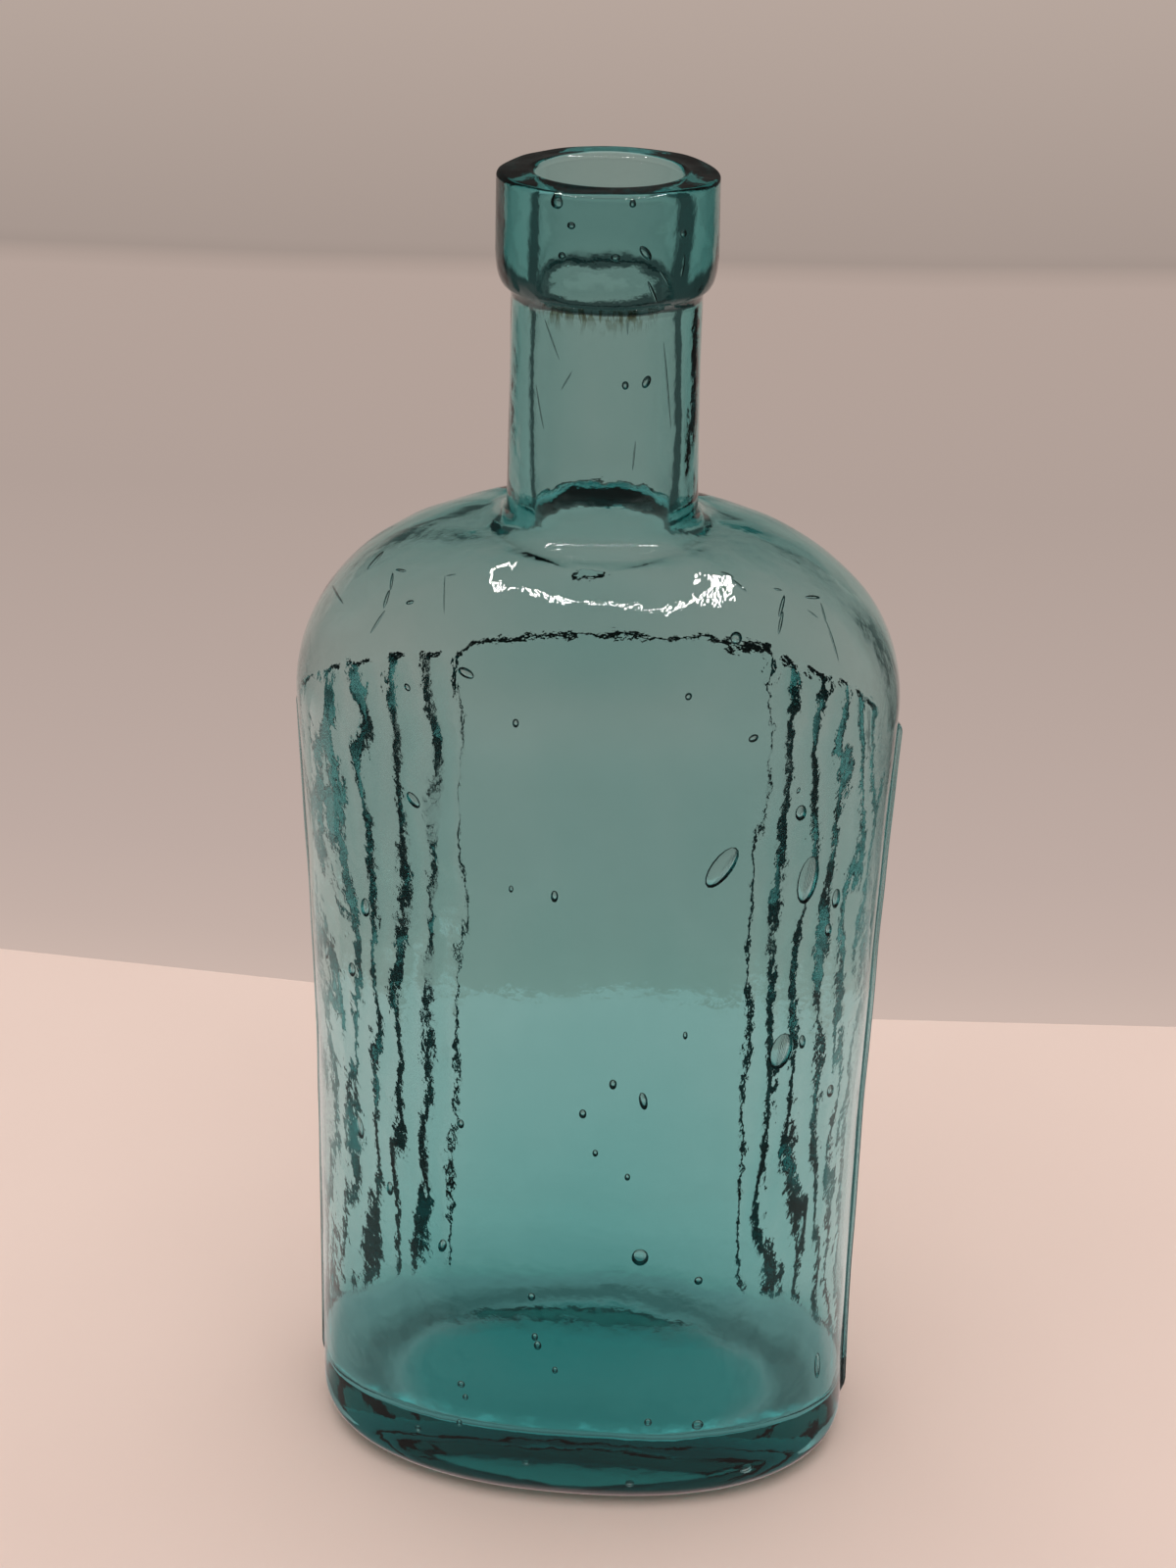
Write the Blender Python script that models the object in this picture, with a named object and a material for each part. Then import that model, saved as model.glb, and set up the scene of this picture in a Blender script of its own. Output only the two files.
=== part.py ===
"""Flat oval poison bottle in aqua glass, with an applied collar lip.

Metres, +Z up. The origin is the centre of the foot, on the surface that the bottle stands on.
X runs across the width, from one mould seam to the other. Y runs through the depth: the plain
face is at -Y, and the face with the raised ribs and the raised arched panel is at +Y.
"""

import math

import bmesh
import bpy
import numpy as np

MM = 0.001

# Overall form
TOTAL_HEIGHT = 178.0 * MM
BODY_WIDTH = 75.0 * MM  # at the foot and at the shoulder
BODY_DEPTH = 46.0 * MM
OVAL_POWER = 2.27  # 2 is an ellipse, more is squarer
WAIST = 0.85 * MM  # how far each end of the oval sinks in at mid-height

# Blown walls: thick at the foot of the two faces, thinner up the wall and at both ends of the oval
FACE_WALL_AT_FLOOR = 6.6 * MM
FACE_WALL = 3.5 * MM  # at the shoulder
END_WALL = 1.8 * MM
CAVITY_POWER = 2.6  # the inside is squarer than the outside

# Shoulder and neck
SHOULDER_START = 114.0 * MM
SHOULDER_END = 136.7 * MM
SHOULDER_POWER = 2.05  # more keeps the shoulder full for longer
SHOULDER_WIDTH_POWER = 1.9  # 1 meets the neck at a slope, 2 meets it level
SHOULDER_DEPTH_POWER = 1.6
SHOULDER_WALL = 3.0 * MM
NECK_FILLET = 2.0 * MM
NECK_FOOT_RADIUS = 11.55 * MM
NECK_TOP_RADIUS = 11.0 * MM
NECK_BORE_FOOT_RADIUS = 8.2 * MM
NECK_BORE_TOP_RADIUS = 8.0 * MM
BORE_MOUTH_ROUND = 3.5 * MM  # where the bore opens into the shoulder

# Foot
HEEL_ROUND = 4.6 * MM
REST_RING_WIDTH = 3.2 * MM  # the flat ring that the bottle stands on
PUSH_UP_HEIGHT = 2.2 * MM
FLOOR_THICKNESS = 8.3 * MM
FLOOR_CORNER = 2.6 * MM
FLOOR_DOME = 1.0 * MM

# Applied lip
LIP_HEIGHT = 13.0 * MM
LIP_RADIUS = 12.85 * MM
LIP_TAPER = 0.1 * MM  # how much slimmer the lip is at the rim
LIP_UNDER_ROUND = 4.0 * MM
LIP_EDGE = 0.5 * MM  # thickness of the lip's lower edge, where it laps onto the neck
RIM_OUTER_ROUND = 0.8 * MM
RIM_INNER_ROUND = 0.9 * MM
MOUTH_RADIUS = 8.2 * MM
NECK_IN_LIP = 7.0 * MM  # length of neck that the lip is wrapped round
LIP_CLEARANCE = 0.3 * MM

# Ribs and panel on the +Y face. Distances across the face are measured along the oval
PANEL_HALF_WIDTH = 20.4 * MM
PANEL_HEIGHT = 0.5 * MM  # the +Y half of the oval is this much shallower, so the panel is level with it
PANEL_EDGE = 0.9 * MM  # width of the step round the panel
ARCH_TOP = 113.8 * MM
ARCH_DROP = 1.5 * MM  # at ARCH_HALF_WIDTH from the middle
ARCH_HALF_WIDTH = 24.5 * MM  # across X
FIRST_RIB = 23.5 * MM  # from the middle of the face
RIB_COUNT = 5  # on each side of the panel
RIB_PITCH = 4.85 * MM
RIB_HEIGHT = 1.0 * MM
RIB_WIDTH = 4.1 * MM
RIB_END_FADE = 1.3 * MM
RIB_DROP = 0.4 * MM  # how far the ribs end below the arch

# Mould seams at both ends of the oval
SEAM_TOP = 111.5 * MM
SEAM_HEIGHT = 0.75 * MM
SEAM_WIDTH = 1.1 * MM
SEAM_CREST_WIDTH = 0.5 * MM

# Fineness of the surfaces
FRONT_COLUMNS = 26
PANEL_COLUMNS = 5  # on each side of the middle
END_COLUMNS = 2  # between the last rib and the seam
PUSH_UP_RINGS = 4
FLOOR_RINGS = 2
CAVITY_COLUMNS = 48
LIP_COLUMNS = 48
STRAIGHT_ROWS = 4
SHOULDER_ROWS = 11
ROUND_STEPS = 4
CUTTER_OVERRUN = 3.0 * MM  # how far the bore's cutter ends above the neck

# Worked out from the sizes above
HALF_WIDTH = BODY_WIDTH / 2
HALF_DEPTH = BODY_DEPTH / 2
LIP_BOTTOM = TOTAL_HEIGHT - LIP_HEIGHT
NECK_TOP = LIP_BOTTOM + NECK_IN_LIP


def glass_material(name, colour):
    """Clear tinted glass: see-through, smooth, without metal."""
    material = bpy.data.materials.new(name)
    material.use_nodes = True
    shader = material.node_tree.nodes["Principled BSDF"]
    shader.inputs["Base Color"].default_value = (*colour, 1.0)
    shader.inputs["Roughness"].default_value = 0.05
    shader.inputs["Metallic"].default_value = 0.0
    shader.inputs["Transmission Weight"].default_value = 0.9
    shader.inputs["IOR"].default_value = 1.5
    return material


def oval(half_width, half_depth, power, angles):
    """Points of a superellipse, |x/a|^p + |y/b|^p = 1, at the given angles."""
    cos, sin = np.cos(angles), np.sin(angles)
    x = half_width * np.sign(cos) * np.abs(cos) ** (2 / power)
    y = half_depth * np.sign(sin) * np.abs(sin) ** (2 / power)
    return x, y


def oval_normal(half_width, half_depth, power, angles):
    """Outward unit normal of the same superellipse, in its own plane."""
    cos, sin = np.cos(angles), np.sin(angles)
    nx = np.sign(cos) * np.abs(cos) ** (2 - 2 / power) / half_width
    ny = np.sign(sin) * np.abs(sin) ** (2 - 2 / power) / half_depth
    length = np.hypot(nx, ny)
    return nx / length, ny / length


def arc_table():
    """Angles from the middle of the +Y face to the +X end, and the distance along the oval to each."""
    angles = np.linspace(math.pi / 2, 0.0, 4001)
    x, y = oval(HALF_WIDTH, HALF_DEPTH, OVAL_POWER, angles)
    steps = np.hypot(np.diff(x), np.diff(y))
    return angles, np.concatenate([[0.0], np.cumsum(steps)])


ARC_ANGLES, ARC_LENGTHS = arc_table()


def angle_at(distance):
    """Angle of the point this far along the oval from the middle of the +Y face."""
    return float(np.interp(distance, ARC_LENGTHS, ARC_ANGLES))


def distance_at(angles):
    """Distance along the oval from the middle of the +Y face, without sign, for angles on that face."""
    folded = np.arcsin(np.clip(np.sin(angles), 0.0, 1.0))
    return np.interp(-folded, -ARC_ANGLES, ARC_LENGTHS)


def rib_centres():
    """Distances from the middle of the face to each rib on one side."""
    return [FIRST_RIB + RIB_PITCH * k for k in range(RIB_COUNT)]


def column_angles():
    """Angles of the outer surface's columns: close together over each rib, panel edge and seam."""
    inner_edge = PANEL_HALF_WIDTH - PANEL_EDGE / 2
    across = list(np.linspace(0.0, inner_edge, PANEL_COLUMNS + 1))
    across += [PANEL_HALF_WIDTH, PANEL_HALF_WIDTH + PANEL_EDGE / 2]
    for centre in rib_centres():
        across += [centre + RIB_WIDTH * share for share in (-0.5, -0.25, 0.0, 0.25, 0.5)]
    seam_start = ARC_LENGTHS[-1] - SEAM_WIDTH / 2
    last = across[-1]
    gap = seam_start - last
    across += [last + gap * (k + 1) / (END_COLUMNS + 1) for k in range(END_COLUMNS)]
    seam = [math.asin((y / HALF_DEPTH) ** (OVAL_POWER / 2)) for y in (SEAM_CREST_WIDTH / 2, SEAM_WIDTH / 2)]
    right = seam + [angle_at(distance) for distance in across]
    back = right + [math.pi - angle for angle in right]
    seam_sides = [-angle for angle in seam] + [angle - math.pi for angle in seam]
    first = seam[-1]
    plain = list(np.linspace(-first, first - math.pi, FRONT_COLUMNS + 1)[1:-1])
    every = {round(angle % (2 * math.pi), 6) for angle in back + seam_sides + plain}
    return np.array(sorted(every))


def bell(distance, width):
    """A rib's rounded section: 1 on its middle line, 0 half its width away."""
    share = np.clip(np.abs(distance) / (width / 2), 0.0, 1.0)
    return 0.5 + 0.5 * np.cos(math.pi * share)


def from_seam(angles):
    """Distance through the depth from the seams' plane."""
    return np.abs(oval(HALF_WIDTH, HALF_DEPTH, OVAL_POWER, angles)[1])


def relief_top(angles, x):
    """Height where the relief ends: an arch over the panel, a step lower over the ribs, and level at the seams."""
    arch = ARCH_TOP - ARCH_DROP * (x / ARCH_HALF_WIDTH) ** 2
    beside_panel = distance_at(angles) > PANEL_HALF_WIDTH + PANEL_EDGE / 2 + 0.01 * MM
    arch = arch - RIB_DROP * beside_panel
    return np.where(from_seam(angles) < SEAM_WIDTH / 2 + 0.01 * MM, SEAM_TOP, arch)


def relief(angles, x, z):
    """How far the ribs, the panel and the seams stand out of the plain oval."""
    top = relief_top(angles, x)
    foot_fade = np.clip((z - HEEL_ROUND) / RIB_END_FADE, 0.0, 1.0)
    top_fade = np.clip((top - z) / RIB_END_FADE, 0.0, 1.0)
    along = distance_at(angles)
    ribs = np.zeros_like(x)
    for centre in rib_centres():
        ribs = np.maximum(ribs, RIB_HEIGHT * bell(along - centre, RIB_WIDTH) * top_fade)
    inside_sides = np.clip((PANEL_HALF_WIDTH + PANEL_EDGE / 2 - along) / PANEL_EDGE, 0.0, 1.0)
    inside_arch = np.clip((top + PANEL_EDGE / 2 - z) / PANEL_EDGE, 0.0, 1.0)
    panel = PANEL_HEIGHT * np.minimum(inside_sides, inside_arch)
    flank = (SEAM_WIDTH - SEAM_CREST_WIDTH) / 2
    seam_section = np.clip((SEAM_WIDTH / 2 - from_seam(angles)) / flank, 0.0, 1.0)
    seam = SEAM_HEIGHT * seam_section * (z < top + 0.01 * MM)
    face = (ribs + panel) * (np.sin(angles) > 0)
    return (face + seam) * foot_fade


def quarter(share, power, end_power):
    """Falls from 1 to 0 as share goes from 0 to 1, along a quarter of a rounded outline."""
    return (1 - np.clip(share, 0.0, 1.0) ** power) ** (1 / end_power)


def shoulder(z, start, end):
    """How much of the body's width and of its depth the shoulder still has at the heights z."""
    share = (z - start) / (end - start)
    width_left = quarter(share, SHOULDER_POWER, SHOULDER_WIDTH_POWER)
    depth_left = quarter(share, SHOULDER_POWER, SHOULDER_DEPTH_POWER)
    return width_left, depth_left


def waist_at(z):
    """How far the ends of the oval are sunk in at the heights z."""
    share = np.clip((z - HEEL_ROUND) / (SHOULDER_START - HEEL_ROUND), 0.0, 1.0)
    return WAIST * np.sin(math.pi * share)


def shallower(angles):
    """How much less half depth the +Y half of the oval has, to leave room for the panel."""
    return PANEL_HEIGHT * (np.sin(angles) > 1e-9)


def outer_section(z, angles):
    """Half width, half depth and power of the plain outside at the heights z above the heel."""
    width_left, depth_left = shoulder(z, SHOULDER_START, SHOULDER_END)
    climb = np.clip((z - SHOULDER_END) / (NECK_TOP - SHOULDER_END), 0.0, 1.0)
    fillet = np.clip((z - SHOULDER_END) / NECK_FILLET, 0.0, 1.0)
    neck = NECK_FOOT_RADIUS + (NECK_TOP_RADIUS - NECK_FOOT_RADIUS) * climb
    neck = neck + NECK_FILLET * (1 - quarter(1 - fillet, 2.0, 2.0))
    half_width = neck + (HALF_WIDTH - waist_at(z) - neck) * width_left
    half_depth = neck + (HALF_DEPTH - shallower(angles) - neck) * depth_left
    return half_width, half_depth, 2 + (OVAL_POWER - 2) * depth_left


def foot_rings(angles):
    """The underside from inside the push-up outwards, then the flat ring and the rounded heel."""
    rings = []
    edge = HEEL_ROUND + REST_RING_WIDTH
    half_depth = HALF_DEPTH - shallower(angles)
    for step in range(1, PUSH_UP_RINGS + 1):
        share = step / PUSH_UP_RINGS
        x, y = oval((HALF_WIDTH - edge) * share, (half_depth - edge) * share, OVAL_POWER, angles)
        rings.append(np.stack([x, y, np.full_like(x, push_up(share))], axis=1))
    for step in range(ROUND_STEPS):
        turn = math.pi / 2 * step / ROUND_STEPS
        inset = HEEL_ROUND * (1 - math.sin(turn))
        z = HEEL_ROUND * (1 - math.cos(turn))
        x, y = oval(HALF_WIDTH - inset, half_depth - inset, OVAL_POWER, angles)
        rings.append(np.stack([x, y, np.full_like(x, z)], axis=1))
    return rings


def push_up(share):
    """Height of the hollowed underside, from its middle at 0 to its edge at 1."""
    return PUSH_UP_HEIGHT * (1 - share ** 2)


def body_rows(angles, x):
    """Heights of the rows above the heel, one array for each row, bent to follow the arch."""
    flat = np.zeros_like(x)
    top = relief_top(angles, x)
    lower = flat + HEEL_ROUND + RIB_END_FADE
    upper = top - RIB_END_FADE
    rows = [flat + HEEL_ROUND, lower]
    for step in range(1, STRAIGHT_ROWS + 1):
        rows.append(lower + (upper - lower) * step / (STRAIGHT_ROWS + 1))
    rows += [upper, top - PANEL_EDGE / 2, top, top + PANEL_EDGE / 2]
    first = ARCH_TOP + PANEL_EDGE
    for step in range(SHOULDER_ROWS + 1):
        rows.append(flat + first + (SHOULDER_END - first) * math.sin(math.pi / 2 * step / SHOULDER_ROWS))
    for step in range(1, ROUND_STEPS + 1):
        rows.append(flat + SHOULDER_END + NECK_FILLET * math.sin(math.pi / 2 * step / ROUND_STEPS))
    return rows + [flat + LIP_BOTTOM, flat + NECK_TOP]


def outer_rings():
    """Every ring of the body's outside, from the underside to the neck's top."""
    angles = column_angles()
    rings = foot_rings(angles)
    body_x, _ = oval(HALF_WIDTH, HALF_DEPTH, OVAL_POWER, angles)
    for z in body_rows(angles, body_x):
        half_width, half_depth, power = outer_section(z, angles)
        x, y = oval(half_width, half_depth, power, angles)
        nx, ny = oval_normal(half_width, half_depth, power, angles)
        height = relief(angles, body_x, z)
        rings.append(np.stack([x + nx * height, y + ny * height, z], axis=1))
    return rings


def face_wall_at(z):
    """Thickness of the two faces' walls: it falls by a square law from the floor up to the shoulder."""
    climb = np.clip((z - FLOOR_THICKNESS) / (SHOULDER_START - FLOOR_THICKNESS), 0.0, 1.0)
    return FACE_WALL + (FACE_WALL_AT_FLOOR - FACE_WALL) * (1 - climb) ** 2


def cavity_sections():
    """Half width, half depth, power and height of each ring of the inside, from the floor up."""
    half_width = HALF_WIDTH - END_WALL
    floor_depth = HALF_DEPTH - FACE_WALL_AT_FLOOR
    sections = []
    for step in range(1, FLOOR_RINGS + 1):
        share = step / (FLOOR_RINGS + 1)
        z = FLOOR_THICKNESS + FLOOR_DOME * (1 - share ** 2)
        sections.append(((half_width - FLOOR_CORNER) * share, (floor_depth - FLOOR_CORNER) * share, CAVITY_POWER, z))
    for step in range(ROUND_STEPS + 1):
        turn = math.pi / 2 * step / ROUND_STEPS
        inset = FLOOR_CORNER * (1 - math.sin(turn))
        z = FLOOR_THICKNESS + FLOOR_CORNER * (1 - math.cos(turn))
        sections.append((half_width - waist_at(z) - inset, HALF_DEPTH - face_wall_at(z) - inset, CAVITY_POWER, z))
    floor_end = FLOOR_THICKNESS + FLOOR_CORNER
    for step in range(1, STRAIGHT_ROWS + 1):
        z = floor_end + (SHOULDER_START - floor_end) * step / (STRAIGHT_ROWS + 1)
        sections.append((half_width - waist_at(z), HALF_DEPTH - face_wall_at(z), CAVITY_POWER, z))
    half_depth = HALF_DEPTH - FACE_WALL
    ceiling = SHOULDER_END - SHOULDER_WALL
    collar = NECK_BORE_FOOT_RADIUS + BORE_MOUTH_ROUND
    for step in range(SHOULDER_ROWS):
        z = SHOULDER_START + (ceiling - SHOULDER_START) * math.sin(math.pi / 2 * step / SHOULDER_ROWS)
        width_left, depth_left = shoulder(z, SHOULDER_START, ceiling)
        width = collar + (half_width - collar) * width_left
        depth = collar + (half_depth - collar) * depth_left
        sections.append((width, depth, 2 + (CAVITY_POWER - 2) * depth_left, z))
    for step in range(ROUND_STEPS + 1):
        turn = math.pi / 2 * step / ROUND_STEPS
        radius = collar - BORE_MOUTH_ROUND * math.sin(turn)
        sections.append((radius, radius, 2.0, ceiling + BORE_MOUTH_ROUND * (1 - math.cos(turn))))
    sections.append((NECK_BORE_TOP_RADIUS, NECK_BORE_TOP_RADIUS, 2.0, NECK_TOP + CUTTER_OVERRUN))
    return sections


def cavity_rings():
    """The rings of the cutter that hollows the bottle, which ends above the neck's top."""
    angles = np.linspace(0.0, 2 * math.pi, CAVITY_COLUMNS, endpoint=False)
    rings = []
    for width, depth, power, z in cavity_sections():
        x, y = oval(width, depth, power, angles)
        rings.append(np.stack([x, y, np.full_like(x, z)], axis=1))
    return rings


def solid_of_rings(name, rings, bottom_centre_z, top_centre_z):
    """A closed mesh: the rings skinned one to the next, and a fan of triangles at each end."""
    shape = bmesh.new()
    loops = [[shape.verts.new(p) for p in ring] for ring in rings]
    count = len(loops[0])
    for lower, upper in zip(loops[:-1], loops[1:]):
        for i in range(count):
            j = (i + 1) % count
            shape.faces.new((lower[i], lower[j], upper[j], upper[i]))
    bottom = shape.verts.new((0.0, 0.0, bottom_centre_z))
    top = shape.verts.new((0.0, 0.0, top_centre_z))
    for i in range(count):
        j = (i + 1) % count
        shape.faces.new((bottom, loops[0][j], loops[0][i]))
        shape.faces.new((top, loops[-1][i], loops[-1][j]))
    return mesh_object(name, shape)


def mesh_object(name, shape):
    """Links the bmesh as an object of that name, shaded smooth up to 35 degrees."""
    bmesh.ops.recalc_face_normals(shape, faces=shape.faces[:])
    mesh = bpy.data.meshes.new(name)
    shape.to_mesh(mesh)
    shape.free()
    mesh.shade_smooth()
    mesh.set_sharp_from_angle(angle=math.radians(35))
    made = bpy.data.objects.new(name, mesh)
    bpy.context.scene.collection.objects.link(made)
    return made


def arc(centre_r, centre_z, radius, start, end):
    """Points (r, z) along an arc, from start to end in degrees."""
    turns = np.radians(np.linspace(start, end, ROUND_STEPS + 1))
    return [(centre_r + radius * math.cos(t), centre_z + radius * math.sin(t)) for t in turns]


def lip_profile():
    """The lip's section as a closed loop of (r, z), from its lower edge up the inside and down the outside."""
    recess = NECK_TOP_RADIUS + LIP_CLEARANCE
    climb = (LIP_BOTTOM - SHOULDER_END) / (NECK_TOP - SHOULDER_END)
    neck_here = NECK_FOOT_RADIUS + (NECK_TOP_RADIUS - NECK_FOOT_RADIUS) * climb
    edge_inside = neck_here + LIP_CLEARANCE
    seat = NECK_TOP + LIP_CLEARANCE
    points = [(edge_inside, LIP_BOTTOM), (recess, seat), (NECK_BORE_TOP_RADIUS, seat)]
    inner = RIM_INNER_ROUND
    points += arc(MOUTH_RADIUS + inner, TOTAL_HEIGHT - inner, inner, 180, 90)
    rim_radius = LIP_RADIUS - LIP_TAPER
    outer = RIM_OUTER_ROUND
    points += arc(rim_radius - outer, TOTAL_HEIGHT - outer, outer, 90, 0)
    edge_outside = edge_inside + LIP_EDGE
    under_width = LIP_RADIUS - edge_outside
    for step in range(ROUND_STEPS + 1):
        turn = math.pi / 2 * step / ROUND_STEPS
        r = edge_outside + under_width * math.cos(turn)
        points.append((r, LIP_BOTTOM + LIP_UNDER_ROUND * (1 - math.sin(turn))))
    return points


def applied_lip(material):
    """The collar of glass laid round the neck's end: its section turned about the bottle's axis."""
    shape = bmesh.new()
    profile = lip_profile()
    loops = []
    for turn in np.linspace(0.0, 2 * math.pi, LIP_COLUMNS, endpoint=False):
        cos, sin = math.cos(turn), math.sin(turn)
        loops.append([shape.verts.new((r * cos, r * sin, z)) for r, z in profile])
    for k, loop in enumerate(loops):
        following = loops[(k + 1) % LIP_COLUMNS]
        for i in range(len(profile)):
            j = (i + 1) % len(profile)
            shape.faces.new((loop[i], loop[j], following[j], following[i]))
    made = mesh_object("applied_lip", shape)
    made.data.materials.append(material)
    return made


def glass_body(material):
    """The blown bottle: the outer solid with the cavity and bore cut out of it."""
    cavity_floor = FLOOR_THICKNESS + FLOOR_DOME
    cavity = solid_of_rings("cavity_cutter", cavity_rings(), cavity_floor, NECK_TOP + CUTTER_OVERRUN)
    cavity.hide_render = True
    cavity.display_type = "WIRE"
    made = solid_of_rings("glass_body", outer_rings(), push_up(0.0), NECK_TOP)
    made.data.materials.append(material)
    cut = made.modifiers.new("hollow", "BOOLEAN")
    cut.operation = "DIFFERENCE"
    cut.solver = "EXACT"
    cut.object = cavity
    return made


def build():
    for old in list(bpy.data.objects):
        bpy.data.objects.remove(old)
    aqua = glass_material("aqua_glass", (0.33, 0.66, 0.62))
    lip_aqua = glass_material("lip_glass", (0.28, 0.6, 0.56))
    glass_body(aqua)
    applied_lip(lip_aqua)


build()
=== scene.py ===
"""An old oval poison bottle in aqua glass, standing on white paper in front of a grey card.

The glass is one closed skin, as in the real bottle, where the lip is fused to the neck: it runs
from the middle of the underside up the outside, over the rim, down the bore and across the inner
floor, so that the tint comes from the thickness of the glass. Metres, +Z up.
"""

import math

import bpy
import numpy as np
from mathutils import Matrix


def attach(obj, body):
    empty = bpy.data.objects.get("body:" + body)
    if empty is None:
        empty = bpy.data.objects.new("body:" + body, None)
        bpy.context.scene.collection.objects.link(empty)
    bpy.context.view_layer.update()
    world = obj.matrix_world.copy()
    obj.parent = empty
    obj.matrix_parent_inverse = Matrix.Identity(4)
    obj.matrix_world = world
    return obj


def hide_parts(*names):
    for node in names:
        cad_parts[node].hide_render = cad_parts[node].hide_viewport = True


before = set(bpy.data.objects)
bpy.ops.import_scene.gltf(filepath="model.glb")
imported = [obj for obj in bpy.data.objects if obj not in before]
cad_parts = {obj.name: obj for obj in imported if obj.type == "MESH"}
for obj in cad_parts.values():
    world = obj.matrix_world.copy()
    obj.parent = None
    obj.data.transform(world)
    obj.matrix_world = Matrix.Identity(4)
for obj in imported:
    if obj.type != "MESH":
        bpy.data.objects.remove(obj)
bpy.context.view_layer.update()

MM = 0.001
TURN = 2 * math.pi

# Camera
CAMERA_PLACE = (0.01924, -0.26265, 0.23610)
CAMERA_TURN, CAMERA_DIP, CAMERA_ROLL = 0.0767, 0.4753, 0.0213
CAMERA_LENS, CAMERA_SENSOR = 53.516, 36.0

# Overall form
HALF_WIDTH = 37.5 * MM
HALF_DEPTH = 23.0 * MM
OVAL_POWER = 2.27
WAIST = 0.85 * MM
TOTAL_HEIGHT = 178.0 * MM

# Heel and underside
HEEL_ROUND = 4.6 * MM
REST_RING_WIDTH = 3.2 * MM
PUSH_UP_HEIGHT = 2.2 * MM

# Shoulder and neck
SHOULDER_START = 114.0 * MM
SHOULDER_END = 136.7 * MM
SHOULDER_POWER = 2.05
SHOULDER_WIDTH_POWER = 1.9
SHOULDER_DEPTH_POWER = 1.6
INSIDE_DEPTH_POWER = 1.0
NECK_FILLET = 2.0 * MM
NECK_FOOT_RADIUS = 11.55 * MM
NECK_TOP_RADIUS = 11.0 * MM
NECK_IN_LIP = 7.0 * MM

# Lip
LIP_BOTTOM = 165.0 * MM
LIP_RADIUS = 12.85 * MM
LIP_TAPER = 0.1 * MM
LIP_UNDER_ROUND = 4.0 * MM
LIP_EDGE = 0.5 * MM
RIM_OUTER_ROUND = 0.8 * MM
RIM_INNER_ROUND = 0.9 * MM
MOUTH_RADIUS = 8.2 * MM
MOUTH_FOOT = 160.0 * MM

# Inside
FACE_WALL_AT_FLOOR = 6.6 * MM
FACE_WALL = 3.5 * MM
FACE_WALL_LOSS = 0.8 * MM
END_WALL_LOW = 1.2 * MM
END_WALL = 1.0 * MM
END_WALL_TOP = 1.3 * MM
INNER_SHIFT = 0.25 * MM
INNER_POWER_LOW = 2.4
INNER_POWER = 2.2
INNER_POWER_TOP = 2.35
FLOOR_THICKNESS = 8.3 * MM
FLOOR_CORNER = 2.6 * MM
FLOOR_DOME = 1.0 * MM
SHOULDER_WALL = 2.8 * MM
BORE_FOOT_RADIUS = 8.2 * MM
BORE_TOP_RADIUS = 8.0 * MM
BORE_MOUTH_ROUND = 4.2 * MM

# Ribs, panel and mould seams
PANEL_HEIGHT = 0.65 * MM
PANEL_HALF_WIDTH = 20.4 * MM
PANEL_CORNER = 4.5 * MM
PANEL_EDGE = 0.55 * MM
PANEL_RISE = 0.45 * MM
PANEL_LEAN = 0.02
PANEL_LIFT = 0.45
ARCH_TOP = 113.8 * MM
ARCH_DROP = 1.5 * MM
ARCH_HALF_WIDTH = 24.5 * MM
FIRST_RIB = 22.9 * MM
RIB_COUNT = 5
RIB_PITCH_AT_FOOT = 3.7 * MM
RIB_PITCH = 4.85 * MM
RIB_HEIGHT = 1.15 * MM
RIB_WIDTH = 3.9 * MM
RIB_CREST = 0.12
RIB_END = 1.3 * MM
RIB_DROP = 0.4 * MM
SEAM_TOP = 111.5 * MM
SEAM_HEIGHT = 0.75 * MM
SEAM_WIDTH = 1.1 * MM
SEAM_CREST_WIDTH = 0.6 * MM
SEAM_END = 0.9 * MM

# How the ribs and the panel's edge stray
SPREAD_START, SPREAD_END, SPREAD_ON_RIGHT = 66 * MM, 98 * MM, 0.35
RIB_SWAY, RIB_SWAY_LENGTH = 0.16 * MM, 26 * MM
RIB_JITTER, RIB_JITTER_LENGTH = 0.05 * MM, 5 * MM
RIB_WIDTH_STRAY, RIB_HEIGHT_STRAY, RIB_TOP_GAIN = 0.10, 0.10, 0.15
PANEL_RAGGED, PANEL_RAGGED_LENGTH = 0.16 * MM, 5 * MM
PANEL_FRAYED, PANEL_FRAYED_LENGTH = 0.09 * MM, 1.8 * MM
PANEL_BOW, BOW_START, BOW_END = 0.3 * MM, 60 * MM, 80 * MM
PANEL_BULGE, BULGE_HEIGHT, BULGE_REACH = 1.1 * MM, 96 * MM, 8 * MM

# Unevenness of the surfaces, each with its wavelengths along the three axes. Inside, the amounts are those of the
# chest, the floor, the shoulder and the bore.
SWELL, SWELL_LENGTHS = 0.10 * MM, np.array([22, 22, 34]) * MM
UNEVEN, UNEVEN_LENGTHS = 0.035 * MM, np.array([6, 6, 14]) * MM
DRAWN, DRAWN_LENGTHS = 0.05 * MM, np.array([4, 4, 60]) * MM
INNER_SWELL, INNER_SWELL_LENGTHS = (0.10, 0.25, 0.16, 0.10), np.array([24, 24, 36]) * MM
INNER_UNEVEN, INNER_UNEVEN_LENGTHS = (0.012, 0.05, 0.03, 0.02), np.array([6, 6, 9]) * MM
PEEL_ON_BODY, PEEL_ON_NECK = 0.5, 1.1
LEAST_GRAIN = 0.06

# Colours in linear light: the glass by its depth, and the deposit under the lip
GLASS_COLOUR, GLASS_DENSITY = (0.02, 0.673, 0.68, 1.0), 153.0
DEPOSIT_COLOUR = (0.30, 0.22, 0.12, 1.0)

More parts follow.
